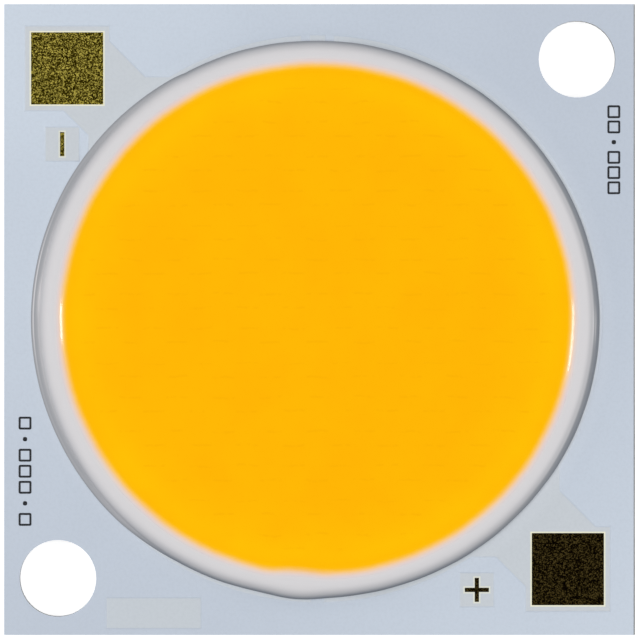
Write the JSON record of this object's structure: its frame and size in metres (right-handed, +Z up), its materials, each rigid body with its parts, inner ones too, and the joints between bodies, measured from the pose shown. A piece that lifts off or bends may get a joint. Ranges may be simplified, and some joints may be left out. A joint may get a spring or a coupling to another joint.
{
  "type": "chip-on-board light emitting diode array",
  "caption": "Square metal-core board with a round field of yellow phosphor gel over light-emitting dies, inside a white silicone dam, with solder pads and screw holes at its corners.",
  "frame": {"origin": "middle of the underside of the board", "axes": "+Z up out of the light-emitting face; the minus pad is at -X, +Y and the plus pad at +X, -Y"},
  "size_m": [0.028, 0.028, 0.0018],
  "materials": {
    "plate_aluminium": "rolled sheet, satin, with sheared edges",
    "insulation": "filled epoxy, matt",
    "copper": "copper foil, gold plated wherever the mask leaves it bare",
    "gold_plating": "nickel and gold on grainy copper, satin",
    "white_mask": "white solder mask with a cool cast, satin",
    "dam_silicone": "white silicone, smooth and slightly translucent",
    "phosphor_silicone": "phosphor-filled silicone, smooth",
    "die_sapphire": "sapphire, polished",
    "bond_gold": "fine gold wire"
  },
  "bodies": {
    "root": {"base_plate": "plate_aluminium", "blank_copper_patch": "copper", "bond_wires_01": "bond_gold", "bond_wires_02": "bond_gold", "bond_wires_03": "bond_gold", "bond_wires_04": "bond_gold", "bond_wires_05": "bond_gold", "bond_wires_06": "bond_gold", "bond_wires_07": "bond_gold", "bond_wires_08": "bond_gold", "bond_wires_09": "bond_gold", "bond_wires_10": "bond_gold", "bond_wires_11": "bond_gold", "bond_wires_12": "bond_gold", "bond_wires_13": "bond_gold", "bond_wires_14": "bond_gold", "bond_wires_15": "bond_gold", "bond_wires_16": "bond_gold", "bond_wires_17": "bond_gold", "bond_wires_18": "bond_gold", "bond_wires_19": "bond_gold", "bond_wires_20": "bond_gold", "bond_wires_21": "bond_gold", "dam": "dam_silicone", "die_string_01": "die_sapphire", "die_string_02": "die_sapphire", "die_string_03": "die_sapphire", "die_string_04": "die_sapphire", "die_string_05": "die_sapphire", "die_string_06": "die_sapphire", "die_string_07": "die_sapphire", "die_string_08": "die_sapphire", "die_string_09": "die_sapphire", "die_string_10": "die_sapphire", "die_string_11": "die_sapphire", "die_string_12": "die_sapphire", "die_string_13": "die_sapphire", "die_string_14": "die_sapphire", "die_string_15": "die_sapphire", "die_string_16": "die_sapphire", "die_string_17": "die_sapphire", "die_string_18": "die_sapphire", "die_string_19": "die_sapphire", "die_string_20": "die_sapphire", "die_string_21": "die_sapphire", "insulating_sheet": "insulation", "minus_conductor": "copper", "minus_mark_copper": "copper", "minus_mark_plating": "gold_plating", "minus_pad_plating": "gold_plating", "phosphor_gel": "phosphor_silicone", "plus_conductor": "copper", "plus_mark_copper": "copper", "plus_mark_plating": "gold_plating", "plus_pad_plating": "gold_plating", "solder_mask": "white_mask", "top_copper_island": "copper"}
  },
  "joints": []
}
